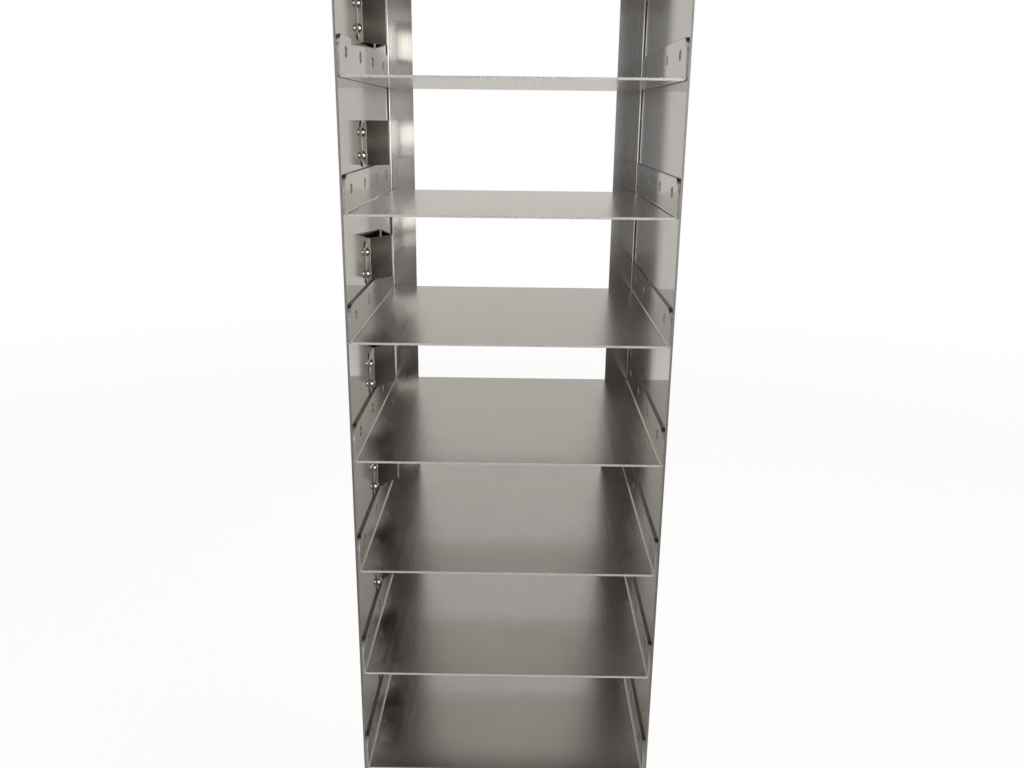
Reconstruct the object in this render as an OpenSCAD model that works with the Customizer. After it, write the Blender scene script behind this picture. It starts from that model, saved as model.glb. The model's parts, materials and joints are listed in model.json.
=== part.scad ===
// Vertical storage rack for a chest freezer: two folded side panels, a stack of
// folded trays spot-welded between them, a bowed spring clip riveted to the left
// wall of every bay, and a folding wire bail on top.
// The rack stands on z = 0, centred on x = 0 and y = 0, with its open front facing -y.

/* [Rack] */
// Outside width across the two side panels
rack_w = 143; // [132:1:190]
// Outside depth, from the panels' front edges to the back of their rear flanges
rack_d = 142; // [132:1:190]
// Number of bays
bays = 12; // [4:1:14]
// Height from one tray to the next
bay_pitch = 55.7; // [50:0.1:90]

/* [Sheet] */
// Thickness of the panel sheet
panel_t = 1; // [0.8:0.1:1.5]
// Thickness of the tray sheet
tray_t = 1; // [0.8:0.1:1.5]

/* [Side panels] */
// Outside width of each panel's rear flange
rear_flange_w = 15; // [10:0.5:22]
// Radius of each panel's two front corners
panel_corner_r = 6; // [2:0.5:12]
// Inside radius of each panel's rear fold
panel_fold_r = 1.2; // [0.8:0.1:2.5]

/* [Trays] */
// Outside height of each tray's side flanges
tray_flange_h = 17; // [15:0.5:20]
// Radius of each side flange's front corner
tray_corner_r = 7; // [3:0.5:10]
// How far each tray's front edge sits behind the panels' front edges
tray_inset = 1; // [0.5:0.5:6]
// Inside radius of each tray's two folds
tray_fold_r = 0.7; // [0.5:0.1:2]
// Gap between each side flange's rear end and the start of the panel's fold
tray_fold_gap = 1.3; // [0.5:0.1:4]

/* [Spot welds] */
// Number of spot welds along each flange
weld_n = 4; // [2:1:6]
// Distance from the tray's front edge to the first weld
weld_first = 14.5; // [9:0.5:20]
// Distance from one weld to the next
weld_pitch = 35; // [12:0.5:38]
// Height of the welds above the tray's floor
weld_h = 9.5; // [6:0.5:11]
// Diameter of the dimple that each weld leaves
weld_d = 4; // [2:0.5:5]
// Depth of that dimple
weld_sink = 0.15; // [0.1:0.05:0.3]

/* [Spring clips] */
// Thickness of the spring strip
clip_t = 0.5; // [0.3:0.05:0.8]
// Height of the strip
clip_w = 21; // [14:0.5:30]
// Distance from the panel's front edge to the clip's front edge
clip_setback = 48; // [30:0.5:60]
// Length of the flat tab that is riveted to the panel
clip_tab = 14; // [12:0.5:20]
// Distance from the clip's front edge to its crest
clip_crest = 28; // [25:0.5:36]
// Height of the crest's fold lines above the panel
clip_fold_h = 9.9; // [7:0.1:13]
// Distance from the clip's front edge to the foot of its rear leg
clip_foot = 51; // [45:0.5:60]
// Length of the toe behind the foot
clip_toe = 2.5; // [1.5:0.5:5]
// Gap between the toe and the panel
clip_gap = 0.4; // [0.2:0.1:1]
// Inside radius of the fold behind the tab
clip_heel_r = 0.8; // [0.4:0.1:4]
// Inside radius of the crest
clip_crest_r = 3; // [1.5:0.5:5]
// Inside radius of the fold at the toe
clip_toe_r = 2; // [1:0.5:4]
// Radius of the tab's two front corners
clip_corner_r = 4; // [1:0.5:6]

/* [Clip rivets] */
// Shank diameter
clip_rivet_d = 2.4; // [2:0.1:3.2]
// Diameter of the domed head on the tab
clip_rivet_head_d = 4.4; // [4:0.1:6]
// Height of that head
clip_rivet_head_h = 1.9; // [1:0.1:2]
// Height of the flat head outside the panel
clip_rivet_tail_h = 0.5; // [0.3:0.1:1]
// Distance between the two rivets of a clip
clip_rivet_pitch = 10.5; // [8:0.5:14]
// Distance from the clip's front edge to the rivets
clip_rivet_in = 3.6; // [3.4:0.1:6]
// Clearance around each shank in the clip
clip_hole_gap = 0.15; // [0.1:0.05:0.3]

/* [Bail handle] */
// Diameter of the rod
bail_rod_d = 6; // [5:0.5:7]
// Distance from the hinge axis to the centre of the grip
bail_reach = 58; // [45:1:60]
// Centre-line radius of the two bends beside the grip
bail_grip_r = 14; // [10:1:25]
// Centre-line radius of the two bends beside the hinge
bail_hinge_r = 6; // [5:0.5:8]
// How far each end of the rod stands out of its bracket
bail_end = 3; // [2:0.5:5]
// Clearance around the rod in its bracket
bail_hole_gap = 0.3; // [0.2:0.05:0.5]
// Gap under the grip when the bail lies flat
bail_rest_gap = 0.3; // [0.2:0.05:0.6]
// Gap between the bail's bends and each bracket
bail_side_gap = 0.5; // [0.3:0.1:1]

/* [Handle brackets] */
// Thickness of the bracket plate
bracket_t = 1.5; // [1.2:0.1:2]
// Length of the bracket from front to back
bracket_l = 26; // [22:1:36]
// Width of the foot, from the ear's inner face
bracket_foot_w = 14; // [13:0.5:18]
// Gap between the foot and the top tray's side flange
bracket_wall_gap = 4; // [3:0.5:8]
// Height of the hinge axis above the top tray's floor
bracket_axis_h = 8; // [6.5:0.25:8.5]
// Radius of the ear's upper corners
bracket_ear_r = 6.5; // [5:0.5:7]
// Plate above the hinge axis, measured from it
bracket_head = 6.5; // [5.5:0.25:7.25]
// Radius of the foot's outer corners
bracket_foot_r = 3; // [1:0.5:4]
// Inside radius of the bracket's fold
bracket_fold_r = 1.5; // [1:0.1:2]

/* [Bracket rivets] */
// Shank diameter
bracket_rivet_d = 3.2; // [3:0.1:4]
// Diameter of the domed head on the bracket
bracket_rivet_head_d = 6; // [5.5:0.1:6.5]
// Height of that head
bracket_rivet_head_h = 1.8; // [1:0.1:2.4]
// Height of the flat head under the top tray
bracket_rivet_tail_h = 0.8; // [0.4:0.1:1.2]
// Distance between the two rivets of a bracket
bracket_rivet_pitch = 15; // [12:0.5:17]
// Distance from each rivet head to the foot's outer edge
bracket_rivet_edge = 1; // [0.5:0.5:2]

/* [Hidden] */
$fn = 96;
// Overrun of a cutter past the face that it cuts
over = 1;
front_y = -rack_d / 2;
rear_y = rack_d / 2;
rack_h = bays * bay_pitch + tray_flange_h;
// The panels' inner faces, and the trays that fit between them
wall_x = rack_w / 2 - panel_t;
tray_w = 2 * wall_x;
tray_front_y = front_y + tray_inset;
tray_l = rear_y - panel_t - tray_front_y;
top_floor_z = bays * bay_pitch + tray_t;
tray_relief = panel_fold_r + tray_fold_gap;
// The clips
clip_y = front_y + clip_setback;
clip_mid_z = tray_t + (bay_pitch - tray_t) / 2;
clip_rise_a = atan((clip_fold_h - clip_t / 2) / (clip_crest - clip_tab));
clip_fall_a = atan((clip_fold_h - clip_gap - clip_t / 2) / (clip_foot - clip_crest));
// Steps in the arc of each of its folds
clip_fold_n = 12;
// The brackets and the bail
ear_x = wall_x - tray_t - bracket_wall_gap - bracket_foot_w;
bail_leg_x = ear_x - bail_side_gap - bail_hinge_r;
bail_z = top_floor_z + bracket_axis_h;
bail_tilt = asin((bracket_axis_h - bail_rod_d / 2 - bail_rest_gap) / bail_reach);
bracket_h = bracket_axis_h + bracket_head;
bracket_rivet_x = ear_x + bracket_foot_w - bracket_rivet_edge - bracket_rivet_head_d / 2;
steel = [0.74, 0.74, 0.73];
spring_steel = [0.66, 0.66, 0.65];
rod_steel = [0.80, 0.80, 0.79];

// Centre of the fold that turns a strip's mid line from heading a to heading b
// at a corner, with mid-line radius r
function fold_centre(corner, a, b, r) =
    corner + sign(b - a) * r / cos((b - a) / 2) * [-sin((a + b) / 2), cos((a + b) / 2)];

// Points round that fold, on the line that lies d to the left of the mid line
function fold_line(corner, a, b, r, d) = [
    for (i = [0:clip_fold_n])
        let (h = a + (b - a) * i / clip_fold_n)
            fold_centre(corner, a, b, r) + (sign(b - a) * r - d) * [sin(h), -cos(h)]
];

// One side of the clip's section, d to the left of its mid line: along x from the
// tab's front edge, with the panel at y = 0
function clip_line(d) = concat(
    [[0, clip_t / 2 + d]],
    fold_line([clip_tab, clip_t / 2], 0, clip_rise_a, clip_heel_r + clip_t / 2, d),
    fold_line(
        [clip_crest, clip_fold_h],
        clip_rise_a,
        -clip_fall_a,
        clip_crest_r + clip_t / 2,
        d
    ),
    fold_line(
        [clip_foot, clip_gap + clip_t / 2],
        -clip_fall_a,
        0,
        clip_toe_r + clip_t / 2,
        d
    ),
    [[clip_foot + clip_toe, clip_gap + clip_t / 2 + d]]
);

function reversed(list) = [for (i = [len(list) - 1:-1:0]) list[i]];

// Section of a folded strip of thickness t, starting along +x on the line y = 0.
// Each step is [straight length, fold angle, inside radius]; positive folds turn to +y.
module folded_strip(steps, t, i = 0) {
    run = steps[i][0];
    angle = steps[i][1];
    r = steps[i][2];
    square([run, t]);
    if (i < len(steps) - 1)
        translate([run, angle > 0 ? t + r : -r]) {
            fold_sector(angle, r, t);
            rotate(angle)
                translate([0, angle > 0 ? -t - r : r])
                    folded_strip(steps, t, i + 1);
        }
}

// Section of one fold, centred on its own axis
module fold_sector(angle, r, t) {
    far = 2 * (r + t);
    start = angle > 0 ? -90 : 90 + angle;
    half = abs(angle) / 2;
    intersection() {
        difference() {
            circle(r + t);
            circle(r);
        }
        rotate(start)
            polygon([
                [0, 0],
                [far, 0],
                [far, far * tan(half)],
                far * [cos(2 * half), sin(2 * half)]
            ]);
    }
}

// Outline of a plate from y = 0 to l and z = 0 to h, with its four corners rounded
// by r_low and r_high at the front and square at the back
module plate_outline(l, h, r_low, r_high) {
    translate([max(r_low, r_high), 0])
        square([l - max(r_low, r_high), h]);
    translate([0, r_low])
        square([l, h - r_low - r_high]);
    translate([r_low, r_low])
        circle(r_low);
    translate([r_high, h - r_high])
        circle(r_high);
}

// Lays a profile that was drawn with x as depth and y as height across the rack
module across_rack(width) {
    translate([-width / 2, 0, 0])
        rotate([90, 0, 90])
            linear_extrude(width)
                children();
}

// A set rivet through a stack of sheets: z = 0 is the face under its domed head
module rivet(shank_d, head_d, head_h, grip, tail_h) {
    dome_r = (pow(head_d / 2, 2) + pow(head_h, 2)) / (2 * head_h);
    rotate_extrude()
        intersection() {
            translate([0, head_h - dome_r])
                circle(dome_r);
            square([head_d / 2, head_h]);
        }
    translate([0, 0, -grip])
        cylinder(d = shank_d, h = grip);
    translate([0, 0, -grip - tail_h])
        cylinder(d1 = head_d - tail_h, d2 = head_d, h = tail_h);
}

// Places its children at both rivets of the clip in bay k, with +x as their axis
module at_clip_rivets(k) {
    for (s = [-1, 1])
        translate([
            -wall_x,
            clip_y + clip_rivet_in,
            (k - 1) * bay_pitch + clip_mid_z + s * clip_rivet_pitch / 2
        ])
            rotate([0, 90, 0])
                children();
}

// Places its children at both rivets of the bracket on side s
module at_bracket_rivets(s) {
    for (f = [-1, 1])
        translate([s * bracket_rivet_x, f * bracket_rivet_pitch / 2, top_floor_z])
            children();
}

// A side panel, drawn for the left side: one sheet, with its rear edge folded inwards
module side_panel() {
    intersection() {
        translate([-rack_w / 2, front_y, 0])
            linear_extrude(rack_h)
                mirror([1, -1, 0])
                    folded_strip(
                        [
                            [rack_d - panel_t - panel_fold_r, 90, panel_fold_r],
                            [rear_flange_w - panel_t - panel_fold_r, 0, 0]
                        ],
                        panel_t
                    );
        translate([0, front_y, 0])
            across_rack(rack_w + 2 * over)
                plate_outline(rack_d + over, rack_h, panel_corner_r, panel_corner_r);
    }
}

module left_side_panel() {
    color(steel)
        difference() {
            side_panel();
            for (k = [1:bays])
                at_clip_rivets(k)
                    translate([0, 0, -panel_t - over])
                        cylinder(d = clip_rivet_d, h = panel_t + 2 * over);
        }
}

module right_side_panel() {
    color(steel)
        mirror([1, 0, 0])
            side_panel();
}

// A tray: a floor with both sides folded up, set k pitches above the base
module tray(k) {
    fold_w = tray_t + tray_fold_r;
    flange_run = tray_flange_h - fold_w;
    translate([0, tray_front_y, k * bay_pitch])
        difference() {
            intersection() {
                translate([tray_t - tray_w / 2, 0, tray_flange_h])
                    rotate([-90, 0, 0])
                        linear_extrude(tray_l)
                            rotate(90)
                                folded_strip(
                                    [
                                        [flange_run, -90, tray_fold_r],
                                        [tray_w - 2 * fold_w, -90, tray_fold_r],
                                        [flange_run, 0, 0]
                                    ],
                                    tray_t
                                );
                across_rack(tray_w + 2 * over)
                    plate_outline(tray_l + over, tray_flange_h, 0, tray_corner_r);
            }
            for (s = [-1, 1])
                translate([s * (tray_w / 2 + over / 2), tray_l, tray_flange_h / 2])
                    cube(
                        [
                            2 * fold_w + over,
                            2 * tray_relief,
                            tray_flange_h + 2 * over
                        ],
                        center = true
                    );
            weld_dimples();
        }
}

// The shallow spherical dimples that the welding electrode leaves inside both flanges
module weld_dimples() {
    ball_r = (pow(weld_d / 2, 2) + pow(weld_sink, 2)) / (2 * weld_sink);
    for (s = [-1, 1])
        for (i = [0:weld_n - 1])
            translate([
                s * (tray_w / 2 - tray_t),
                weld_first + i * weld_pitch,
                tray_t + weld_h
            ])
                rotate([0, s * 90, 0])
                    rotate_extrude()
                        intersection() {
                            translate([0, weld_sink - ball_r])
                                circle(ball_r);
                            translate([0, -weld_sink])
                                square([weld_d, 2 * weld_sink]);
                        }
}

module base_tray() {
    color(steel)
        tray(0);
}

module shelf_tray(k) {
    color(steel)
        tray(k);
}

// The top tray carries the handle brackets, so its floor is drilled for their rivets
module top_tray() {
    color(steel)
        difference() {
            tray(bays);
            for (s = [-1, 1])
                at_bracket_rivets(s)
                    translate([0, 0, -tray_t - over])
                        cylinder(d = bracket_rivet_d, h = tray_t + 2 * over);
        }
}

// The bowed clip of bay k: tab, rising leg, crest, falling leg and toe from one strip
module spring_clip(k) {
    low_z = (k - 1) * bay_pitch + clip_mid_z - clip_w / 2;
    color(spring_steel)
        difference() {
            intersection() {
                translate([-wall_x, clip_y, low_z])
                    linear_extrude(clip_w)
                        mirror([1, -1, 0])
                            polygon(concat(
                                clip_line(-clip_t / 2),
                                reversed(clip_line(clip_t / 2))
                            ));
                translate([0, clip_y, low_z])
                    across_rack(rack_w)
                        plate_outline(2 * clip_foot, clip_w, clip_corner_r, clip_corner_r);
            }
            at_clip_rivets(k)
                translate([0, 0, -over])
                    cylinder(d = clip_rivet_d + 2 * clip_hole_gap, h = clip_t + 2 * over);
        }
}

module clip_rivets() {
    color(rod_steel)
        for (k = [1:bays])
            at_clip_rivets(k)
                translate([0, 0, clip_t])
                    rivet(
                        clip_rivet_d,
                        clip_rivet_head_d,
                        clip_rivet_head_h,
                        clip_t + panel_t,
                        clip_rivet_tail_h
                    );
}

// A handle bracket on side s: a foot on the top tray and an ear drilled for the bail
module bracket(s) {
    foot_run = bracket_foot_w - bracket_t - bracket_fold_r;
    ear_run = bracket_h - bracket_t - bracket_fold_r;
    color(steel)
        scale([s, 1, 1])
            translate([ear_x, 0, top_floor_z])
                difference() {
                    intersection() {
                        translate([bracket_foot_w, bracket_l / 2, 0])
                            rotate([90, 0, 0])
                                linear_extrude(bracket_l)
                                    mirror([1, 0, 0])
                                        folded_strip(
                                            [
                                                [foot_run, 90, bracket_fold_r],
                                                [ear_run, 0, 0]
                                            ],
                                            bracket_t
                                        );
                        translate([0, -bracket_l / 2, 0])
                            across_rack(4 * bracket_foot_w)
                                ear_outline();
                        translate([0, 0, -over])
                            linear_extrude(bracket_h + 2 * over)
                                foot_outline();
                    }
                    translate([-over, 0, bracket_axis_h])
                        rotate([0, 90, 0])
                            cylinder(
                                d = bail_rod_d + 2 * bail_hole_gap,
                                h = bracket_t + 2 * over
                            );
                    for (f = [-1, 1])
                        translate([
                            bracket_rivet_x - ear_x,
                            f * bracket_rivet_pitch / 2,
                            -over
                        ])
                            cylinder(d = bracket_rivet_d, h = bracket_t + 2 * over);
                }
}

// Side view of a bracket: both upper corners rounded
module ear_outline() {
    square([bracket_l, bracket_h - bracket_ear_r]);
    translate([bracket_ear_r, 0])
        square([bracket_l - 2 * bracket_ear_r, bracket_h]);
    for (y = [bracket_ear_r, bracket_l - bracket_ear_r])
        translate([y, bracket_h - bracket_ear_r])
            circle(bracket_ear_r);
}

// Plan view of a bracket: both outer corners of the foot rounded
module foot_outline() {
    translate([0, -bracket_l / 2])
        square([bracket_foot_w - bracket_foot_r, bracket_l]);
    translate([0, -bracket_l / 2 + bracket_foot_r])
        square([bracket_foot_w, bracket_l - 2 * bracket_foot_r]);
    for (f = [-1, 1])
        translate([
            bracket_foot_w - bracket_foot_r,
            f * (bracket_l / 2 - bracket_foot_r)
        ])
            circle(bracket_foot_r);
}

module left_bracket() {
    bracket(-1);
}

module right_bracket() {
    bracket(1);
}

module bracket_rivets() {
    color(rod_steel)
        for (s = [-1, 1])
            at_bracket_rivets(s)
                translate([0, 0, bracket_t])
                    rivet(
                        bracket_rivet_d,
                        bracket_rivet_head_d,
                        bracket_rivet_head_h,
                        bracket_t + tray_t,
                        bracket_rivet_tail_h
                    );
}

// A quarter bend of the rod in the x-y plane, from angle a to a + 90
module rod_bend(r, a) {
    rotate(a)
        rotate_extrude(angle = 90)
            translate([r, 0])
                circle(d = bail_rod_d);
}

// One straight length of the rod between two points
module rod_run(from, to) {
    d = to - from;
    translate(from)
        rotate([0, 90, atan2(d[1], d[0])])
            cylinder(d = bail_rod_d, h = norm(d));
}

// The bail, folded back onto the top tray: two legs, a grip and two hinge ends
module bail_handle() {
    leg_x = bail_leg_x;
    end_x = ear_x + bracket_t + bail_end;
    color(rod_steel)
        translate([0, 0, bail_z])
            rotate([-bail_tilt, 0, 0]) {
                rod_run(
                    [-leg_x + bail_grip_r, bail_reach, 0],
                    [leg_x - bail_grip_r, bail_reach, 0]
                );
                for (s = [0, 1])
                    mirror([s, 0, 0]) {
                        rod_run([leg_x + bail_hinge_r, 0, 0], [end_x, 0, 0]);
                        translate([leg_x + bail_hinge_r, bail_hinge_r, 0])
                            rod_bend(bail_hinge_r, 180);
                        rod_run([leg_x, bail_hinge_r, 0], [leg_x, bail_reach - bail_grip_r, 0]);
                        translate([leg_x - bail_grip_r, bail_reach - bail_grip_r, 0])
                            rod_bend(bail_grip_r, 0);
                    }
            }
}

left_side_panel();
right_side_panel();
base_tray();
for (k = [1:bays - 1])
    shelf_tray(k);
top_tray();
for (k = [1:bays])
    spring_clip(k);
clip_rivets();
bail_handle();
left_bracket();
right_bracket();
bracket_rivets();
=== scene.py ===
import json
import math
import bmesh
import bpy
from mathutils import Matrix, Vector


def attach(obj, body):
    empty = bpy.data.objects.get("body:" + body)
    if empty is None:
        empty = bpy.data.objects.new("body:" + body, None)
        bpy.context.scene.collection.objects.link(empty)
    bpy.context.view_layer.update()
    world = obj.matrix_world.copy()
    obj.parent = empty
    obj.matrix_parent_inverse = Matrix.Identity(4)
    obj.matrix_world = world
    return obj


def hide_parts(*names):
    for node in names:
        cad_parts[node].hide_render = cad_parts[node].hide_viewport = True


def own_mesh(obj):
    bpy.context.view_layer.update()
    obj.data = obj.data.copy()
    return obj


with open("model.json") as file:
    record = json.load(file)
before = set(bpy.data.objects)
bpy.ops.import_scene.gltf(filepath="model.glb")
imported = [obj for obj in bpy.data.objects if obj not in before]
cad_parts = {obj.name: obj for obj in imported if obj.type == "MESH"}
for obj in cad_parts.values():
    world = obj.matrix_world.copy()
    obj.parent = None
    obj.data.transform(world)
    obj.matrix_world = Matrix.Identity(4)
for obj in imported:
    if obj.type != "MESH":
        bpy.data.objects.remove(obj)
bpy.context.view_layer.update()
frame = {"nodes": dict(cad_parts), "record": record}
nodes = frame["nodes"]
scene = bpy.context.scene
mm = 0.001
print("frame loaded:", len(nodes), "nodes")

camera = {
    "place": (4.145, -450.9, 541.15),  # mm
    "yaw": -0.427,  # degrees, turned to the left of straight on
    "pitch": 16.472,  # degrees, looking down
    "roll": 0.643,
    "focal": 893.5,  # in pixels of an image 1024 wide
    "imageWidth": 1024,
    "sensorWidth": 36,  # mm
    "nearest": 20,  # clipping distances in mm
    "farthest": 200000,
}


def placeCamera(c):
    yaw, pitch, roll = (math.radians(c[k]) for k in ("yaw", "pitch", "roll"))
    forward = Vector((math.sin(yaw) * math.cos(pitch), math.cos(yaw) * math.cos(pitch), -math.sin(pitch)))
    level = Vector((math.cos(yaw), -math.sin(yaw), 0))
    upright = level.cross(forward)
    right = level * math.cos(roll) + upright * math.sin(roll)
    up = upright * math.cos(roll) - level * math.sin(roll)
    data = bpy.data.cameras.new("camera")
    data.sensor_width = c["sensorWidth"]
    data.lens = c["focal"] / c["imageWidth"] * data.sensor_width
    data.clip_start = c["nearest"] * mm
    data.clip_end = c["farthest"] * mm
    obj = bpy.data.objects.new("camera", data)
    scene.collection.objects.link(obj)
    turn = Matrix((right, up, -forward)).transposed().to_4x4()
    obj.matrix_world = Matrix.Translation(Vector(c["place"]) * mm) @ turn
    scene.camera = obj


placeCamera(camera)
scene.view_settings.view_transform = "Standard"
scene.view_settings.look = "None"
print("camera placed")


def linear(hexColour):
    parts = [int(hexColour[i:i + 2], 16) / 255 for i in (1, 3, 5)]
    return [p / 12.92 if p <= 0.04045 else ((p + 0.055) / 1.055) ** 2.4 for p in parts] + [1.0]


# adds a node; an input given as a socket, or as a node for its first output, is linked, and anything else is set
def addNode(tree, kind, inputs=None, **settings):
    made = tree.nodes.new(kind)
    for key, value in settings.items():
        setattr(made, key, value)
    for key, value in (inputs or {}).items():
        if isinstance(value, bpy.types.Node):
            tree.links.new(value.outputs[0], made.inputs[key])
        elif isinstance(value, bpy.types.NodeSocket):
            tree.links.new(value, made.inputs[key])
        else:
            made.inputs[key].default_value = value
    return made


# the rack's own sizes in mm
rack = {
    "wallX": 70.5,  # inner face of each side panel
    "trayT": 1.0,
    "bays": 12,
    "bayPitch": 55.7,
    "trayFrontY": -70.0,
    "topFloorZ": 669.4,
    "weldFirst": 14.5,
    "weldPitch": 35.0,
    "weldH": 9.5,
    "weldN": 4,
}

# The room is only seen in the steel: pale behind the rack and to its sides, darker in front, where
# the camera stands a little left of centre.
light = {
    "behind": "#d5d1cc",
    "above": "#cbcbcd",
    "low": "#95928d",
    "frontHigh": "#65625e",
    # each zone blends in over those before it, between two values of an axis
    "zones": (("frontHigh", "Z", 0.08, 0.28), ("low", "Z", -0.02, -0.3), ("behind", "Y", -0.5, 0.1),
              ("above", "Z", 0.3, 0.7)),
    # straight in front, from left (-1) to right (1)
    "front": ((-1.0, "#eef2f8"), (-0.22, "#eef2f8"), (-0.15, "#b7b9bc"), (-0.125, "#6e6b68"), (-0.1, "#5c5955"),
              (0.02, "#5c5955"), (0.08, "#f2f3f6"), (1.0, "#f2f3f6")),
    # steel between steel: a ray is mirrored many times in the bays and folds
    "bounces": 16,
    "mirrorBounces": 12,
}

# places, targets and sizes in mm, power in watts
softboxes = {
    "softboxAbove": {"place": (0, 300, 2300), "target": (0, 0, 300), "size": (2400, 1800), "power": 32.0},
    "softboxLeft": {"place": (-1250, -1150, 950), "target": (0, 0, 500), "size": (1200, 1000), "power": 2.6},
    "softboxRight": {"place": (1250, -1150, 850), "target": (0, 0, 500), "size": (1300, 1100), "power": 12.5},
}


def makeWorld(c):
    world = bpy.data.worlds.new("studio")
    scene.world = world
    world.use_nodes = True
    tree = world.node_tree
    tree.nodes.clear()
    coord = addNode(tree, "ShaderNodeTexCoord")
    axes = addNode(tree, "ShaderNodeSeparateXYZ", {0: coord.outputs["Generated"]})
    across = addNode(tree, "ShaderNodeMapRange", {"Value": axes.outputs["X"], "From Min": -1.0, "From Max": 1.0})
    front = addNode(tree, "ShaderNodeValToRGB", {"Fac": across.outputs[0]})
    stops = front.color_ramp.elements
    while len(stops) < len(c["front"]):
        stops.new(0.5)
    for stop, (x, colour) in zip(stops, c["front"]):
        stop.position = (x + 1) / 2
        stop.color = linear(colour)
    room = front.outputs[0]
    for zoneName, axis, start, end in c["zones"]:
        share = addNode(tree, "ShaderNodeMapRange", {"Value": axes.outputs[axis], "From Min": start, "From Max": end},
                        interpolation_type="SMOOTHSTEP")
        zone = addNode(tree, "ShaderNodeMix", {"Factor": share.outputs[0], "A": room, "B": linear(c[zoneName])},
                       data_type="RGBA")
        room = zone.outputs["Result"]
    path = addNode(tree, "ShaderNodeLightPath")
    seen = addNode(tree, "ShaderNodeMix",
                   {"Factor": path.outputs["Is Camera Ray"], "A": room, "B": linear("#ffffff")}, data_type="RGBA")
    back = addNode(tree, "ShaderNodeBackground", {"Color": seen.outputs["Result"]})
    addNode(tree, "ShaderNodeOutputWorld", {"Surface": back.outputs[0]})


def areaLight(name, c):
    data = bpy.data.lights.new(name, "AREA")
    data.shape = "RECTANGLE"
    data.size, data.size_y = (d * mm for d in c["size"])
    data.energy = c["power"]
    obj = bpy.data.objects.new(name, data)
    scene.collection.objects.link(obj)
    obj.location = Vector(c["place"]) * mm
    obj.rotation_euler = (Vector(c["target"]) - Vector(c["place"])).to_track_quat("-Z", "Y").to_euler()


makeWorld(light)
for name, box in softboxes.items():
    areaLight(name, box)
scene.cycles.max_bounces = light["bounces"]
scene.cycles.glossy_bounces = light["mirrorBounces"]
print("world and lights set")

# painted studio floor: matt, pale, and lost in the white wall well before it ends
floorDisc = {
    "radius": 2400,  # mm, as are the next ones
    "fadeFrom": 700,
    "frontFrom": -150,  # painted shade: the floor darkens between these two, towards the camera, where the room in front of the rack is dim
    "frontTo": -450,
    "sides": 96,
    "paint": "#ecebe9",
    "paintShadeInFront": "#8d8a86",
    "lift": 0.75,  # how far it is lifted to white where it is seen directly
}


def makeFloor(c):
    bm = bmesh.new()
    bmesh.ops.create_circle(bm, cap_ends=True, segments=c["sides"], radius=c["radius"] * mm)
    mesh = bpy.data.meshes.new("floor")
    bm.to_mesh(mesh)
    bm.free()
    obj = bpy.data.objects.new("floor", mesh)
    scene.collection.objects.link(obj)
    paint = bpy.data.materials.new("mattFloorPaint")
    paint.use_nodes = True
    tree = paint.node_tree
    tree.nodes.clear()
    coord = addNode(tree, "ShaderNodeTexCoord")
    place = addNode(tree, "ShaderNodeSeparateXYZ", {0: coord.outputs["Object"]})
    # painted shade: the floor is darker towards the camera
    shadeInFront = addNode(tree, "ShaderNodeMapRange",
                      {"Value": place.outputs["Y"], "From Min": c["frontFrom"] * mm, "From Max": c["frontTo"] * mm},
                      interpolation_type="SMOOTHSTEP")
    paintAndShade = addNode(tree, "ShaderNodeMix",
                          {"Factor": shadeInFront, "A": linear(c["paint"]), "B": linear(c["paintShadeInFront"])},
                          data_type="RGBA")
    far = addNode(tree, "ShaderNodeVectorMath", {0: coord.outputs["Object"]}, operation="LENGTH")
    fade = addNode(tree, "ShaderNodeMapRange",
                   {"Value": far.outputs["Value"], "From Min": c["fadeFrom"] * mm, "From Max": c["radius"] * mm},
                   interpolation_type="SMOOTHSTEP")
    path = addNode(tree, "ShaderNodeLightPath")
    matt = addNode(tree, "ShaderNodeBsdfDiffuse", {"Color": paintAndShade.outputs["Result"]})
    white = addNode(tree, "ShaderNodeEmission", {"Color": linear("#ffffff")})
    wall = addNode(tree, "ShaderNodeEmission", {"Color": linear(light["behind"])})
    lifted = addNode(tree, "ShaderNodeMixShader", {"Fac": c["lift"], 1: matt.outputs[0], 2: white.outputs[0]})
    near = addNode(tree, "ShaderNodeMixShader",
                   {"Fac": path.outputs["Is Camera Ray"], 1: matt.outputs[0], 2: lifted.outputs[0]})
    beyond = addNode(tree, "ShaderNodeMixShader",
                     {"Fac": path.outputs["Is Camera Ray"], 1: wall.outputs[0], 2: white.outputs[0]})
    whole = addNode(tree, "ShaderNodeMixShader", {"Fac": fade.outputs[0], 1: near.outputs[0], 2: beyond.outputs[0]})
    addNode(tree, "ShaderNodeOutputMaterial", {"Surface": whole.outputs[0]})
    mesh.materials.append(paint)


makeFloor(floorDisc)


# Patterns read object coordinates in mm, because each piece keeps its place in its mesh.
def startMaterial(name):
    material = bpy.data.materials.new(name)
    material.use_nodes = True
    tree = material.node_tree
    tree.nodes.clear()
    coord = addNode(tree, "ShaderNodeTexCoord")
    inMm = addNode(tree, "ShaderNodeVectorMath", {0: coord.outputs["Object"], 1: (1000, 1000, 1000)},
                   operation="MULTIPLY")
    return material, tree, inMm.outputs[0]
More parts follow.
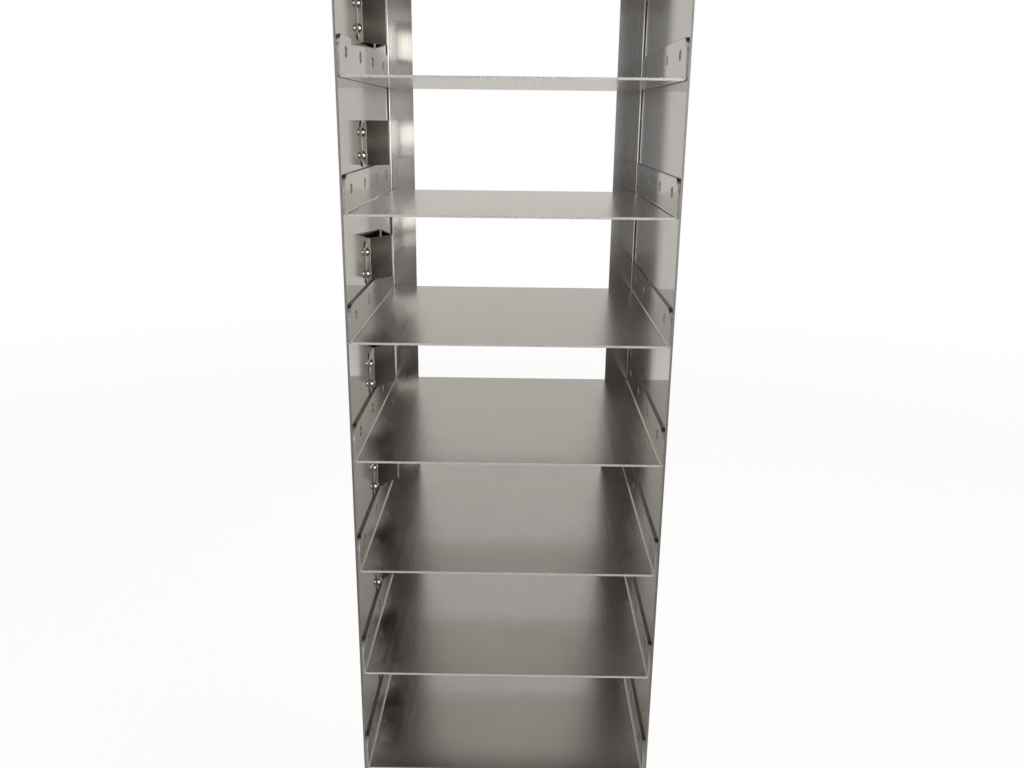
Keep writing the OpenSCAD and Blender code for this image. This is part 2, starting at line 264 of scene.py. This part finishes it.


# Cold-rolled stainless sheet, bright annealed: nearly a mirror at a low angle, with faint
# rolling lines, a slow waviness from folding and straw tints round its welds; its sheared edges are painted light:
# a painted highlight on the trays' front edges, painted shade on the clips' front edges and on edges that face up.
# Its lines, and the mottle on its edges (partly their rough shear, partly painted reflection), are drawn coarser
# than real ones, which would be too fine to show.
def rolledSheet(name, c):
    material, tree, point = startMaterial(name)
    axes = addNode(tree, "ShaderNodeSeparateXYZ", {0: point})
    across = addNode(tree, "ShaderNodeMath", {0: axes.outputs["X"]}, operation="ABSOLUTE")
    stretch = [1 / c["lineGap"]] * 3
    stretch["xyz".index(c["grain"])] = 1 / c["lineLength"]
    along = addNode(tree, "ShaderNodeMapping", {"Vector": point, "Scale": stretch})
    lines = addNode(tree, "ShaderNodeTexNoise", {"Vector": along, "Scale": 1.0, "Detail": 3.0, "Roughness": 0.6})
    waves = addNode(tree, "ShaderNodeTexNoise",
                    {"Vector": point, "Scale": 1 / c["waveSize"], "Detail": 1.0, "Roughness": 0.4})
    cloud = addNode(tree, "ShaderNodeTexNoise",
                    {"Vector": point, "Scale": 1 / c["cloudSize"], "Detail": 4.0, "Roughness": 0.6})
    speckle = addNode(tree, "ShaderNodeTexNoise", {"Vector": point, "Scale": 1 / c["speckleSize"], "Detail": 2.0})

    # y and z as measured from the nearest spot weld
    reach = Vector((0, rack["weldPitch"] / 2, rack["bayPitch"] / 2))
    first = (0, rack["trayFrontY"] + rack["weldFirst"], rack["trayT"] + rack["weldH"])
    moved = addNode(tree, "ShaderNodeVectorMath", {0: point, 1: first}, operation="SUBTRACT")
    fromWeld = addNode(tree, "ShaderNodeVectorMath", {0: moved, 1: reach, 2: -reach}, operation="WRAP")
    distance = addNode(tree, "ShaderNodeVectorMath", {0: fromWeld}, operation="LENGTH")
    halo = addNode(tree, "ShaderNodeMapRange",
                   {"Value": distance.outputs["Value"], "From Min": c["tintRadius"],
                    "From Max": c["tintRadius"] + c["tintFade"], "To Min": c["tintAmount"], "To Max": 0.0},
                   interpolation_type="SMOOTHSTEP")
    onFlange = addNode(tree, "ShaderNodeMath", {0: across, 1: c["tintX"], 2: c["tintDepth"]}, operation="COMPARE")
    tint = addNode(tree, "ShaderNodeMath", {0: halo, 1: onFlange}, operation="MULTIPLY")
    weldAxes = addNode(tree, "ShaderNodeSeparateXYZ", {0: fromWeld})
    # painted shade: a thin dark line along the top of the trays' flanges, the shadow where their burred corner meets
    # the panel
    burrShade = addNode(tree, "ShaderNodeMath", {0: weldAxes.outputs["Z"], 1: c["burrShadeZ"], 2: c["burrShadeHalf"]},
                   operation="COMPARE")

    # sheared edges: the piece's front, and all that lies inside the thickness of its upright walls
    front = addNode(tree, "ShaderNodeMath", {0: axes.outputs["Y"], 1: c["edgeY"]}, operation="LESS_THAN")
    wall = addNode(tree, "ShaderNodeMath", {0: across, 1: c["wallMiddle"], 2: c["wallHalf"]}, operation="COMPARE")
    edge = addNode(tree, "ShaderNodeMath", {0: front, 1: wall}, operation="MAXIMUM")
    normal = addNode(tree, "ShaderNodeNewGeometry")
    facing = addNode(tree, "ShaderNodeSeparateXYZ", {0: normal.outputs["Normal"]})
    # painted shade: sheared edges of the walls that face up are darkened, as the shadow of the gap above them
    upward = addNode(tree, "ShaderNodeMapRange", {"Value": facing.outputs["Z"], "From Min": 0.3, "From Max": 0.9})
    # the edges' mottle, partly their rough shear and partly painted reflection, blends them towards the painted shade
    # colour
    mottle = addNode(tree, "ShaderNodeTexNoise", {"Vector": point, "Scale": 1 / c["mottleSize"], "Detail": 2.0})
    mottledShade = addNode(tree, "ShaderNodeMapRange", {"Value": mottle, "From Min": c["mottleFrom"],
                                                "From Max": c["mottleTo"], "To Max": c["mottleAmount"]})
    # the colour of front edges is painted light: a painted highlight on the trays' edges, painted shade on the clips'
    frontCut = addNode(tree, "ShaderNodeMix", {"Factor": mottledShade, "A": linear(c["edge"]), "B": linear(c["topEdgeShade"])},
                       data_type="RGBA")
    sideCut = addNode(tree, "ShaderNodeMix", {"Factor": mottledShade, "A": linear(c["wallEdge"]), "B": linear(c["topEdgeShade"])},
                      data_type="RGBA")
    wallCut = addNode(tree, "ShaderNodeMix",
                      {"Factor": upward, "A": sideCut.outputs["Result"], "B": linear(c["topEdgeShade"])}, data_type="RGBA")

    base = addNode(tree, "ShaderNodeMix", {"Factor": cloud, "A": linear(c["dark"]), "B": linear(c["pale"])},
                   data_type="RGBA")
    colour = base.outputs["Result"]
    for share, over in ((tint, linear(c["tint"])), (burrShade, linear(c["burrShade"])), (front, frontCut.outputs["Result"]),
                        (wall, wallCut.outputs["Result"])):
        layer = addNode(tree, "ShaderNodeMix", {"Factor": share, "A": colour, "B": over}, data_type="RGBA")
        colour = layer.outputs["Result"]
    sheen = addNode(tree, "ShaderNodeMapRange", {"Value": lines, "From Min": 0.3, "From Max": 0.7,
                                                 "To Min": c["roughness"][0], "To Max": c["roughness"][1]})
    # between the walls the sheet is seen from steeper up, where its fine roughness shows
    between = addNode(tree, "ShaderNodeMath", {0: across, 1: c["betweenX"]}, operation="LESS_THAN")
    duller = addNode(tree, "ShaderNodeMath", {0: between, 1: c["betweenRoughness"], 2: sheen},
                     operation="MULTIPLY_ADD")
    rough = addNode(tree, "ShaderNodeMix", {"Factor": edge, "A": duller, "B": c["edgeRoughness"]}, data_type="FLOAT")
    # a little off its axis, so that it is never square to a face and always leaves a tangent
    grain = [1.0 if axis == c["grain"] else c["grainLean"] for axis in "xyz"]
    acrossGrain = addNode(tree, "ShaderNodeVectorMath", {0: grain, 1: normal.outputs["Normal"]},
                          operation="CROSS_PRODUCT")

    # relief in mm; the lines stand deeper between the walls
    lineDepth = addNode(tree, "ShaderNodeMath", {0: between, 1: c["betweenLineHeight"], 2: c["lineHeight"]},
                        operation="MULTIPLY_ADD")
    lineRelief = addNode(tree, "ShaderNodeMath", {0: lines, 1: lineDepth}, operation="MULTIPLY")
    waveRelief = addNode(tree, "ShaderNodeMath", {0: waves, 1: c["waveHeight"], 2: lineRelief},
                         operation="MULTIPLY_ADD")
    edgeDepth = addNode(tree, "ShaderNodeMath", {0: edge, 1: c["speckleHeight"]}, operation="MULTIPLY")
    height = addNode(tree, "ShaderNodeMath", {0: speckle, 1: edgeDepth, 2: waveRelief}, operation="MULTIPLY_ADD")
    relief = addNode(tree, "ShaderNodeBump", {"Height": height, "Strength": 1.0, "Distance": mm})
    shader = addNode(tree, "ShaderNodeBsdfPrincipled",
                     {"Base Color": colour, "Metallic": 1.0, "Roughness": rough.outputs["Result"],
                      "Anisotropic": c["anisotropy"], "Tangent": acrossGrain, "Normal": relief})
    addNode(tree, "ShaderNodeOutputMaterial", {"Surface": shader})
    return material


# what all the rack's sheet shares; sizes and heights in mm
sheet = {
    "pale": "#c6c3bf", "dark": "#bbb8b4",
    "grain": "y", "lineGap": 0.9, "lineLength": 120, "lineHeight": 0.002, "anisotropy": 0.6, "grainLean": 0.04,
    "betweenX": 0, "betweenLineHeight": 0.0, "betweenRoughness": 0.0,
    "waveSize": 50, "waveHeight": 0.03, "cloudSize": 18,
    "roughness": (0.08, 0.14),
    # the colour for edges that face up is painted shade
    "edge": "#e9e7e3", "wallEdge": "#c9c7c3", "topEdgeShade": "#85817b", "edgeRoughness": 0.35,
    "speckleSize": 0.7, "speckleHeight": 0.12, "mottleSize": 1.0, "mottleFrom": 0.48, "mottleTo": 0.62,
    "mottleAmount": 0.22,
    "edgeY": -200, "wallMiddle": 0, "wallHalf": 0,
    "tint": "#a8977c", "tintRadius": 2.2, "tintFade": 1.1, "tintAmount": 0.0, "tintX": 200, "tintDepth": 0.3,
    # painted shade along the top edge of the trays' flanges; out of reach on all other pieces
    "burrShade": "#8d867c", "burrShadeZ": 200, "burrShadeHalf": 0.1,
}
panelSheet = dict(
    sheet, grain="z", lineLength=160, waveSize=60, waveHeight=0.05, cloudSize=22, roughness=(0.07, 0.12),
    betweenX=70.4, betweenLineHeight=0.012, betweenRoughness=0.04,
    edge="#a19e9a", edgeY=-70.98, wallEdge="#a19e9a", wallMiddle=71.0, wallHalf=0.47, topEdgeShade="#9a9792",
    tint="#b0a083", tintRadius=2.5, tintAmount=0.5, tintX=71.7,
)
traySheet = dict(
    sheet, pale="#c4c0bc", dark="#b9b6b2", lineGap=1.1, waveSize=45, roughness=(0.08, 0.13),
    anisotropy=0.85, betweenX=69.0, betweenLineHeight=0.006, betweenRoughness=0.10,
    # painted highlight: the front edges are near white, brighter than steel, so that they read as lit
    edge="#f7f5f2", edgeY=-69.98, wallMiddle=70.0, wallHalf=0.47, speckleHeight=0.25,
    tintAmount=0.35, tintX=69.5, burrShadeZ=6.35, burrShadeHalf=0.16,
)
bracketPlate = dict(
    sheet, lineGap=0.7, lineLength=60, lineHeight=0.003, waveSize=30, waveHeight=0.01, cloudSize=9,
    roughness=(0.2, 0.28), edgeRoughness=0.4, wallMiddle=52.25, wallHalf=0.72, topEdgeShade="#a5a29e",
)
springStrip = dict(
    sheet, pale="#c9c6c2", dark="#bfbcb8", lineGap=0.8, lineLength=40, lineHeight=0.0016, waveSize=25,
    # painted shade: the strip's front edge is dark, as the shadow in the gap between the tab and the panel
    waveHeight=0.01, cloudSize=8, roughness=(0.13, 0.2), edge="#8f8b86", edgeY=-22.98, edgeRoughness=0.35,
    speckleHeight=0.02,
)


# Headed stainless wire, tumbled: a polished dome whose small marks break up its highlights.
def polishedRivet(name, c):
    material, tree, point = startMaterial(name)
    marks = addNode(tree, "ShaderNodeTexNoise",
                    {"Vector": point, "Scale": 1 / c["markSize"], "Detail": 3.0, "Roughness": 0.6})
    rough = addNode(tree, "ShaderNodeMapRange", {"Value": marks, "From Min": 0.35, "From Max": 0.65,
                                                 "To Min": c["roughness"][0], "To Max": c["roughness"][1]})
    colour = addNode(tree, "ShaderNodeMix", {"Factor": marks, "A": linear(c["dark"]), "B": linear(c["pale"])},
                     data_type="RGBA")
    height = addNode(tree, "ShaderNodeMath", {0: marks, 1: c["markHeight"]}, operation="MULTIPLY")
    relief = addNode(tree, "ShaderNodeBump", {"Height": height, "Strength": 1.0, "Distance": mm})
    shader = addNode(tree, "ShaderNodeBsdfPrincipled",
                     {"Base Color": colour.outputs["Result"], "Metallic": 1.0, "Roughness": rough, "Normal": relief})
    addNode(tree, "ShaderNodeOutputMaterial", {"Surface": shader})
    return material


# Cold-drawn stainless rod: satin, with fine lines that run along it, so its highlight is soft round
# the rod. The lines are drawn coarser than real ones, which would be too fine to show.
def drawnRod(name, c):
    material, tree, point = startMaterial(name)
    laid = addNode(tree, "ShaderNodeUVMap", uv_map=c["uvMap"])
    along = addNode(tree, "ShaderNodeMapping",
                    {"Vector": laid, "Scale": (1 / c["lineGap"], 1 / c["lineLength"], 1.0)})
    lines = addNode(tree, "ShaderNodeTexNoise", {"Vector": along, "Scale": 1.0, "Detail": 3.0, "Roughness": 0.6})
    cloud = addNode(tree, "ShaderNodeTexNoise", {"Vector": point, "Scale": 1 / c["cloudSize"], "Detail": 3.0})
    rough = addNode(tree, "ShaderNodeMapRange", {"Value": cloud, "From Min": 0.35, "From Max": 0.65,
                                                 "To Min": c["roughness"][0], "To Max": c["roughness"][1]})
    colour = addNode(tree, "ShaderNodeMix", {"Factor": lines, "A": linear(c["dark"]), "B": linear(c["pale"])},
                     data_type="RGBA")
    height = addNode(tree, "ShaderNodeMath", {0: lines, 1: c["lineHeight"]}, operation="MULTIPLY")
    relief = addNode(tree, "ShaderNodeBump", {"Height": height, "Strength": 1.0, "Distance": mm})
    shader = addNode(tree, "ShaderNodeBsdfPrincipled",
                     {"Base Color": colour.outputs["Result"], "Metallic": 1.0, "Roughness": rough, "Normal": relief})
    addNode(tree, "ShaderNodeOutputMaterial", {"Surface": shader})
    return material


tumbledRivet = {"pale": "#dddbd8", "dark": "#c9c7c4", "markSize": 0.7, "markHeight": 0.006, "roughness": (0.08, 0.16)}
# metal that a spot weld has pushed up and heated: duller and straw to brown
weldMetal = {"pale": "#a39a8c", "dark": "#6d665d", "markSize": 1.3, "markHeight": 0.01, "roughness": (0.2, 0.34)}
bailRod = {"pale": "#cac7c3", "dark": "#b6b3af", "lineGap": 0.35, "lineLength": 30, "lineHeight": 0.006,
           "cloudSize": 12, "roughness": (0.18, 0.27), "uvMap": "roundAndAlong"}

finishes = {
    "panel_sheet": rolledSheet("coldRolledPanelSheet", panelSheet),
    "tray_sheet": rolledSheet("coldRolledTraySheet", traySheet),
    "bracket_plate": rolledSheet("coldRolledBracketPlate", bracketPlate),
    "spring_strip": rolledSheet("hardRolledSpringStrip", springStrip),
    "rivet": polishedRivet("tumbledStainlessRivet", tumbledRivet),
    "bail_rod": drawnRod("coldDrawnStainlessRod", bailRod),
}
weldFinish = polishedRivet("heatTintedWeldMetal", weldMetal)
for part in frame["record"]["subparts"]:
    shown = nodes[part["node"]]
    shown.data.materials.clear()
    shown.data.materials.append(finishes[part["material_slot"]])
print("finishes given to the CAD nodes")


# names a new piece, gives it a finish unless its mesh has one, and lets it ride on a body
def newPiece(name, mesh, finish, body):
    obj = bpy.data.objects.new(name, mesh)
    scene.collection.objects.link(obj)
    if not mesh.materials:
        mesh.materials.append(finishes[finish])
    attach(obj, body)
    return obj


# bowed spring clips: one strip, folded behind its tab, at its crest and at its toe
clip = {
    "thickness": 0.5,
    "height": 21,
    "frontY": -23,
    "midZ": 28.35,  # of the clip in the lowest bay
    "tab": 14,  # distances back from the clip's front edge
    "crest": 28,
    "foot": 51,
    "toe": 2.5,
    "crestFold": 9.9,  # height off the panel at which the crest's two legs would meet
    "crestHeight": 9.73,  # height of the rounded crest itself
    "toeGap": 0.4,
    "heelR": 0.8,  # inside radii of the folds
    "crestR": 3,
    "toeR": 2,
    "cornerR": 4,
    "edgeR": 0.12,
    "foldSteps": 14,
    "cornerSteps": 8,
    "pressed": 4,  # how far a box pushes the crest back
}


# the strip's middle line as (distance back, height off the panel, heading)
def clipLine(c):
    half = c["thickness"] / 2
    rise = math.atan2(c["crestFold"] - half, c["crest"] - c["tab"])
    fall = math.atan2(c["crestFold"] - c["toeGap"] - half, c["foot"] - c["crest"])
    line = [(0, half, 0.0)]
    for k in range(1, c["cornerSteps"] + 1):  # close stations round the tab's front corners
        line.append((c["cornerR"] * (1 - math.cos(math.pi / 2 * k / c["cornerSteps"])), half, 0.0))
    folds = (
        (c["tab"], half, 0.0, rise, c["heelR"] + half),
        (c["crest"], c["crestFold"], rise, -fall, c["crestR"] + half),
        (c["foot"], c["toeGap"] + half, -fall, 0.0, c["toeR"] + half),
    )
    for cornerY, cornerX, a, b, r in folds:
        side = 1 if b > a else -1
        reach = side * r / math.cos((b - a) / 2)
        centreY = cornerY - reach * math.sin((a + b) / 2)
        centreX = cornerX + reach * math.cos((a + b) / 2)
        for k in range(c["foldSteps"] + 1):
            h = a + (b - a) * k / c["foldSteps"]
            line.append((centreY + side * r * math.sin(h), centreX - side * r * math.cos(h), h))
    line.append((c["foot"] + c["toe"], c["toeGap"] + half, 0.0))
    return line


# how much a corner of radius r takes off the strip's height, a distance d from its end
def cornerCut(d, r):
    return r - math.sqrt(max(0.0, r * r - (r - d) ** 2)) if d < r else 0.0


def clipMesh(name, c, midZ):
    bm = bmesh.new()
    half, e = c["thickness"] / 2, c["edgeR"]
    rings = []
    for back, off, heading in clipLine(c):
        tall = c["height"] / 2 - cornerCut(back, c["cornerR"])
        ring = []
        for sideOut, sideUp in ((1, 1), (-1, 1), (-1, -1), (1, -1)):
            # three points round each of the section's four corners
            corner = [(half - e + e * math.cos(a), tall - e + e * math.sin(a)) for a in (0, math.pi / 4, math.pi / 2)]
            if sideOut * sideUp < 0:
                corner.reverse()
            for out, up in corner:
                out *= sideOut
                ring.append(bm.verts.new((
                    (off + out * math.cos(heading) - rack["wallX"]) * mm,
                    (c["frontY"] + back - out * math.sin(heading)) * mm,
                    (midZ + sideUp * up) * mm,
                )))
        rings.append(ring)
    for before, after in zip(rings, rings[1:]):
        for k in range(len(before)):
            n = (k + 1) % len(before)
            bm.faces.new((before[k], before[n], after[n], after[k]))
    bm.faces.new(rings[0][::-1])
    bm.faces.new(rings[-1])
    bmesh.ops.recalc_face_normals(bm, faces=bm.faces)
    for face in bm.faces:
        face.smooth = True
    mesh = bpy.data.meshes.new(name)
    bm.to_mesh(mesh)
    bm.free()
    return mesh


for k in range(rack["bays"]):
    mesh = clipMesh(f"bowedClip{k + 1}", clip, clip["midZ"] + k * rack["bayPitch"])
    piece = newPiece(f"bowedClip{k + 1}", mesh, "spring_strip", "rack")
    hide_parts(f"spring_clip_{k + 1}")
    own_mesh(piece)
print("spring clips made")


# Copies of the modifier's own mesh at every point of a grid. The grid is three lines of points, each
# with its own count and step, and each copy may be scaled at random between two limits.
def makePatternTree():
    tree = bpy.data.node_groups.new("rackPattern", "GeometryNodeTree")
    face = tree.interface
    face.new_socket("Geometry", in_out="INPUT", socket_type="NodeSocketGeometry")
    lines = ("First", "Second", "Third")
    for line in lines:
        face.new_socket(line + " Count", in_out="INPUT", socket_type="NodeSocketInt")
        face.new_socket(line + " Step", in_out="INPUT", socket_type="NodeSocketVector")
    for name, kind in (("Least Scale", "NodeSocketVector"), ("Most Scale", "NodeSocketVector"),
                       ("Seed", "NodeSocketInt"), ("Finish", "NodeSocketMaterial")):
        face.new_socket(name, in_out="INPUT", socket_type=kind)
    face.new_socket("Geometry", in_out="OUTPUT", socket_type="NodeSocketGeometry")
    given = addNode(tree, "NodeGroupInput")
    grid = None
    for line in lines:
        points = addNode(tree, "GeometryNodeMeshLine",
                         {"Count": given.outputs[line + " Count"], "Offset": given.outputs[line + " Step"]},
                         mode="OFFSET")
        grid = addNode(tree, "GeometryNodeInstanceOnPoints", {"Points": points, "Instance": grid}) if grid else points
    places = addNode(tree, "GeometryNodeRealizeInstances", {0: grid})
    scale = addNode(tree, "FunctionNodeRandomValue",
                    {0: given.outputs["Least Scale"], 1: given.outputs["Most Scale"], "Seed": given.outputs["Seed"]},
                    data_type="FLOAT_VECTOR")
    copies = addNode(tree, "GeometryNodeInstanceOnPoints",
                     {"Points": places, "Instance": given.outputs["Geometry"], "Scale": scale})
    solid = addNode(tree, "GeometryNodeRealizeInstances", {0: copies})
    finished = addNode(tree, "GeometryNodeSetMaterial", {"Geometry": solid, "Material": given.outputs["Finish"]})
    addNode(tree, "NodeGroupOutput", {0: finished})
    return tree


patternTree = makePatternTree()


# Runs the pattern on a mesh made round the world's origin, moves the result to its place in mm, and
# gives back one plain mesh. Each step is (count, (x, y, z) in mm).
def repeated(name, mesh, place, steps, finish, least=(1, 1, 1), most=(1, 1, 1), seed=1):
    source = bpy.data.objects.new(name + "Source", mesh)
    scene.collection.objects.link(source)
    modifier = source.modifiers.new("pattern", "NODES")
    modifier.node_group = patternTree
    values = {"Least Scale": list(least), "Most Scale": list(most), "Seed": seed, "Finish": finish}
    for line, (count, step) in zip(("First", "Second", "Third"), steps):
        values[line + " Count"] = count
        values[line + " Step"] = [d * mm for d in step]
    for item in patternTree.interface.items_tree:
        if item.in_out == "INPUT" and item.name in values:
            modifier[item.identifier] = values[item.name]
    bpy.context.view_layer.update()
    depsgraph = bpy.context.evaluated_depsgraph_get()
    plain = bpy.data.meshes.new_from_object(source.evaluated_get(depsgraph), preserve_all_data_layers=True,
                                            depsgraph=depsgraph)
    plain.name = name
    plain.transform(Matrix.Translation(Vector(place) * mm))
    source.modifiers.remove(modifier)
    bpy.data.objects.remove(source)
    return plain


closeBelow = 1e-4  # mm; points nearer than this are one


# turns a profile of (radius, height) in mm round its axis, which points along +x or +z
def turned(name, profile, steps, axis="x"):
    bm = bmesh.new()
    rings = []
    for r, h in profile:
        count = steps if r > 0 else 1
        rings.append([bm.verts.new((r * math.cos(2 * math.pi * k / steps), r * math.sin(2 * math.pi * k / steps), h))
                      for k in range(count)])
    for before, after in zip(rings, rings[1:]):
        for k in range(steps):
            n = (k + 1) % steps
            quad = [before[k % len(before)], before[n % len(before)], after[n % len(after)], after[k % len(after)]]
            corners = list(dict.fromkeys(quad))
            if len(corners) > 2:
                bm.faces.new(corners)
    bmesh.ops.remove_doubles(bm, verts=bm.verts, dist=closeBelow)
    bmesh.ops.recalc_face_normals(bm, faces=bm.faces)
    for face in bm.faces:
        face.smooth = True
    turn = Matrix.Rotation(math.radians(90), 4, "Y") if axis == "x" else Matrix.Identity(4)
    bm.transform(Matrix.Scale(mm, 4) @ turn)
    mesh = bpy.data.meshes.new(name)
    bm.to_mesh(mesh)
    bm.free()
    return mesh


# what both sizes of rivet share, in mm
rivetForm = {"headRim": 0.02, "tailRound": 0.12, "tailEase": 0.2, "tailFlat": 0.35}


# a set rivet: snap head above height 0, shank through its grip, and a flat upset tail
def rivetProfile(c):
    form = rivetForm
    domeR = ((c["headD"] / 2) ** 2 + c["headH"] ** 2) / (2 * c["headH"])
    widest = math.asin(min(1.0, c["headD"] / 2 / domeR))
    profile = []
    for k in range(c["domeSteps"] + 1):
        a = widest * k / c["domeSteps"]
        profile.append((domeR * math.sin(a), c["headH"] - domeR + domeR * math.cos(a)))
    tail = -c["grip"] - c["tailH"]
    profile += [
        (c["headD"] / 2 - form["headRim"], 0.0), (c["shankD"] / 2, 0.0), (c["shankD"] / 2, -c["grip"]),
        (c["tailD"] / 2, -c["grip"]), (c["tailD"] / 2 - form["tailEase"], tail + form["tailRound"]),
        (c["tailD"] / 2 - form["tailFlat"], tail), (c["dimpleD"] / 2, tail),
        (c["dimpleD"] / 3, tail + c["tailH"] / 2), (0.0, tail + c["tailH"] / 2),
    ]
    return profile


# two rivets through each clip and the panel behind it
clipRivet = {"headD": 4.4, "headH": 1.9, "shankD": 2.4, "grip": 1.5, "tailD": 4.3, "tailH": 0.5, "dimpleD": 1.8,
             "fromFront": 3.6, "pitch": 10.5, "domeSteps": 9, "around": 28}
mesh = turned("clipRivetShape", rivetProfile(clipRivet), clipRivet["around"])
place = (-rack["wallX"] + clip["thickness"], clip["frontY"] + clipRivet["fromFront"],
         clip["midZ"] - clipRivet["pitch"] / 2)
steps = ((2, (0, 0, clipRivet["pitch"])), (rack["bays"], (0, 0, rack["bayPitch"])), (1, (0, 0, 0)))
mesh = repeated("clipRivets", mesh, place, steps, finishes["rivet"])
piece = newPiece("clipRivets", mesh, "rivet", "rack")
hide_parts("clip_rivets")
print("clip rivets made")

# two rivets through each bracket's foot and the top tray
bracketRivet = {"headD": 6.0, "headH": 1.8, "shankD": 3.2, "grip": 2.5, "tailD": 5.9, "tailH": 0.8, "dimpleD": 2.4,
                "x": 61.5, "pitch": 15, "plateT": 1.5, "domeSteps": 9, "around": 32}
mesh = turned("bracketRivetShape", rivetProfile(bracketRivet), bracketRivet["around"], axis="z")
place = (-bracketRivet["x"], -bracketRivet["pitch"] / 2, rack["topFloorZ"] + bracketRivet["plateT"])
steps = ((2, (0, bracketRivet["pitch"], 0)), (2, (2 * bracketRivet["x"], 0, 0)), (1, (0, 0, 0)))
mesh = repeated("bracketRivets", mesh, place, steps, finishes["rivet"])
piece = newPiece("bracketRivets", mesh, "rivet", "rack")
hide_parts("bracket_rivets")
print("bracket rivets made")

# the low ring of metal that the electrode pushes up round each weld's dimple, uneven from weld to weld
weldRim = {"radius": 2.12, "halfWidth": 0.3, "rise": 0.13, "sectionSteps": 8, "around": 28,
           "least": (0.35, 0.85, 0.85), "most": (1.25, 1.05, 1.1), "seed": 4}


def rimProfile(c):
    turns = [2 * math.pi * k / c["sectionSteps"] for k in range(c["sectionSteps"] + 1)]
    return [(c["radius"] + c["halfWidth"] * math.cos(a), c["rise"] * math.sin(a)) for a in turns]


mesh = turned("weldRimShape", rimProfile(weldRim), weldRim["around"])
flangeX = rack["wallX"] - rack["trayT"]
place = (-flangeX, rack["trayFrontY"] + rack["weldFirst"], rack["trayT"] + rack["weldH"])
steps = ((rack["weldN"], (0, rack["weldPitch"], 0)), (rack["bays"] + 1, (0, 0, rack["bayPitch"])),
         (2, (2 * flangeX, 0, 0)))
mesh = repeated("weldRims", mesh, place, steps, weldFinish, weldRim["least"], weldRim["most"], weldRim["seed"])
newPiece("weldRims", mesh, "tray_sheet", "rack")
print("weld rims made")

# the bail: one rod, bent at both corners of its grip and at both hinges, lying folded back
bail = {"rodR": 3, "legX": 45, "reach": 58, "gripR": 14, "hingeR": 6, "endX": 56, "chamfer": 0.6, "axisZ": 677.4,
        "tilt": 4.648, "bendSteps": 16, "around": 32}


# the rod's middle line from one end to the other, in its own plane, as (x, y, heading)
def bailLine(c):
    line = [(-c["endX"], 0, 0.0)]
    corners = ((-c["legX"], 0, 0.0, math.pi / 2, c["hingeR"]), (-c["legX"], c["reach"], math.pi / 2, 0.0, c["gripR"]),
               (c["legX"], c["reach"], 0.0, -math.pi / 2, c["gripR"]), (c["legX"], 0, -math.pi / 2, 0.0, c["hingeR"]))
    for x, y, a, b, r in corners:
        side = 1 if b > a else -1
        reach = side * r / math.cos((b - a) / 2)
        centreX, centreY = x - reach * math.sin((a + b) / 2), y + reach * math.cos((a + b) / 2)
        for k in range(c["bendSteps"] + 1):
            h = a + (b - a) * k / c["bendSteps"]
            line.append((centreX + side * r * math.sin(h), centreY - side * r * math.cos(h), h))
    line.append((c["endX"], 0, 0.0))
    return line


def bailMesh(name, c):
    bm = bmesh.new()
    laid = bm.loops.layers.uv.new(bailRod["uvMap"])
    line = bailLine(c)
    # each end is a narrower ring, then the full rod one chamfer further in
    stations = [(*line[0], c["rodR"] - c["chamfer"]), (line[0][0] + c["chamfer"], *line[0][1:], c["rodR"])]
    stations += [(*spot, c["rodR"]) for spot in line[1:-1]]
    stations += [(line[-1][0] - c["chamfer"], *line[-1][1:], c["rodR"]), (*line[-1], c["rodR"] - c["chamfer"])]
    rings, lengths = [], [0.0]
    for x, y, heading, r in stations:
        if rings:
            lengths.append(lengths[-1] + math.dist((x, y), last))
        last = (x, y)
        turns = [2 * math.pi * k / c["around"] for k in range(c["around"])]
        rings.append([bm.verts.new((x - r * math.cos(a) * math.sin(heading), y + r * math.cos(a) * math.cos(heading),
                                    r * math.sin(a))) for a in turns])
    arc = 2 * math.pi * c["rodR"] / c["around"]
    for i, (before, after) in enumerate(zip(rings, rings[1:])):
        for k in range(c["around"]):
            n = (k + 1) % c["around"]
            face = bm.faces.new((before[k], before[n], after[n], after[k]))
            face.smooth = True
            for loop, (bendRound, along) in zip(face.loops, ((k, i), (k + 1, i), (k + 1, i + 1), (k, i + 1))):
                loop[laid].uv = (bendRound * arc, lengths[along])
    bm.faces.new(rings[0])
    bm.faces.new(rings[-1][::-1])
    bmesh.ops.recalc_face_normals(bm, faces=bm.faces)
    turn = Matrix.Rotation(math.radians(-c["tilt"]), 4, "X")
    bm.transform(Matrix.Scale(mm, 4) @ Matrix.Translation((0, 0, c["axisZ"])) @ turn)
    mesh = bpy.data.meshes.new(name)
    bm.to_mesh(mesh)
    bm.free()
    return mesh


piece = newPiece("bailRod", bailMesh("bailRod", bail), "bail_rod", "bail")
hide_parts("bail_handle")
print("bail made")
